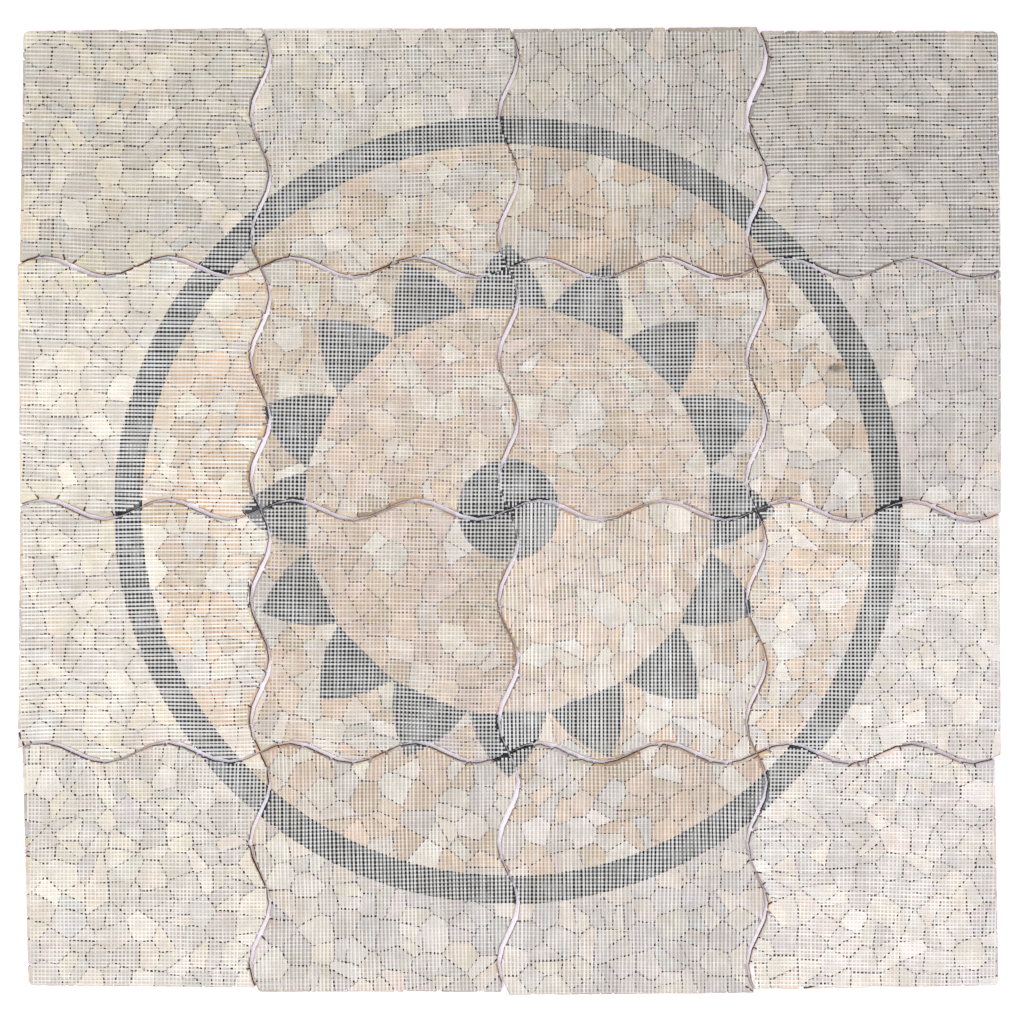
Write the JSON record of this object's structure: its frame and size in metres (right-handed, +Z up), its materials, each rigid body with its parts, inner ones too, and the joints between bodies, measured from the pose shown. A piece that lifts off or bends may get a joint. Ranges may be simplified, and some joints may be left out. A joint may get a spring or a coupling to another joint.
{
  "type": "mosaic rosette panel",
  "caption": "Square mesh-backed marble mosaic rosette for a floor or wall, with a dark ring and a sun with pointed rays inlaid in pale stone, lying mesh side up.",
  "frame": {"origin": "middle of the panel on the ground, under the finished stone face", "axes": "+Z up through the thickness, out of the mesh side; +X to the right and +Y to the top of the picture as it is seen from the mesh side"},
  "size_m": [1.2048, 1.1866, 0.01],
  "materials": {
    "cream_marble": "honed cream and grey-beige marble chips under pale glass-fibre mesh",
    "peach_marble": "honed peach marble chips under pale glass-fibre mesh",
    "dark_marble": "honed charcoal marble",
    "glass_fibre_mesh": "pale woven glass-fibre tile mesh with a 4.7 mm pitch, soaked with clear glue"
  },
  "bodies": {
    "root": {"hub_r2c2": "dark_marble", "hub_r2c3": "dark_marble", "hub_r3c2": "dark_marble", "hub_r3c3": "dark_marble", "ray01_r2c3": "dark_marble", "ray01_r2c4": "dark_marble", "ray01_r3c3": "dark_marble", "ray02_r2c3": "dark_marble", "ray03_r2c3": "dark_marble", "ray04_r1c3": "dark_marble", "ray04_r2c3": "dark_marble", "ray05_r1c2": "dark_marble", "ray05_r1c3": "dark_marble", "ray05_r2c2": "dark_marble", "ray05_r2c3": "dark_marble", "ray06_r2c2": "dark_marble", "ray07_r2c2": "dark_marble", "ray08_r2c2": "dark_marble", "ray09_r2c2": "dark_marble", "ray09_r3c1": "dark_marble", "ray09_r3c2": "dark_marble", "ray10_r3c2": "dark_marble", "ray11_r3c2": "dark_marble", "ray12_r3c2": "dark_marble", "ray12_r4c2": "dark_marble", "ray13_r3c2": "dark_marble", "ray13_r3c3": "dark_marble", "ray13_r4c2": "dark_marble", "ray13_r4c3": "dark_marble", "ray14_r3c3": "dark_marble", "ray15_r3c3": "dark_marble", "ray16_r3c3": "dark_marble", "ring_r1c1": "dark_marble", "ring_r1c2": "dark_marble", "ring_r1c3": "dark_marble", "ring_r1c4": "dark_marble", "ring_r2c1": "dark_marble", "ring_r2c4": "dark_marble", "ring_r3c1": "dark_marble", "ring_r3c4": "dark_marble", "ring_r4c1": "dark_marble", "ring_r4c2": "dark_marble", "ring_r4c3": "dark_marble", "ring_r4c4": "dark_marble", "sheet_r1c1": "cream_marble", "sheet_r1c2": "cream_marble", "sheet_r1c3": "cream_marble", "sheet_r1c4": "cream_marble", "sheet_r2c1": "cream_marble", "sheet_r2c2": "peach_marble", "sheet_r2c3": "peach_marble", "sheet_r2c4": "cream_marble", "sheet_r3c1": "cream_marble", "sheet_r3c2": "peach_marble", "sheet_r3c3": "peach_marble", "sheet_r3c4": "cream_marble", "sheet_r4c1": "cream_marble", "sheet_r4c2": "cream_marble", "sheet_r4c3": "cream_marble", "sheet_r4c4": "cream_marble"}
  },
  "joints": []
}
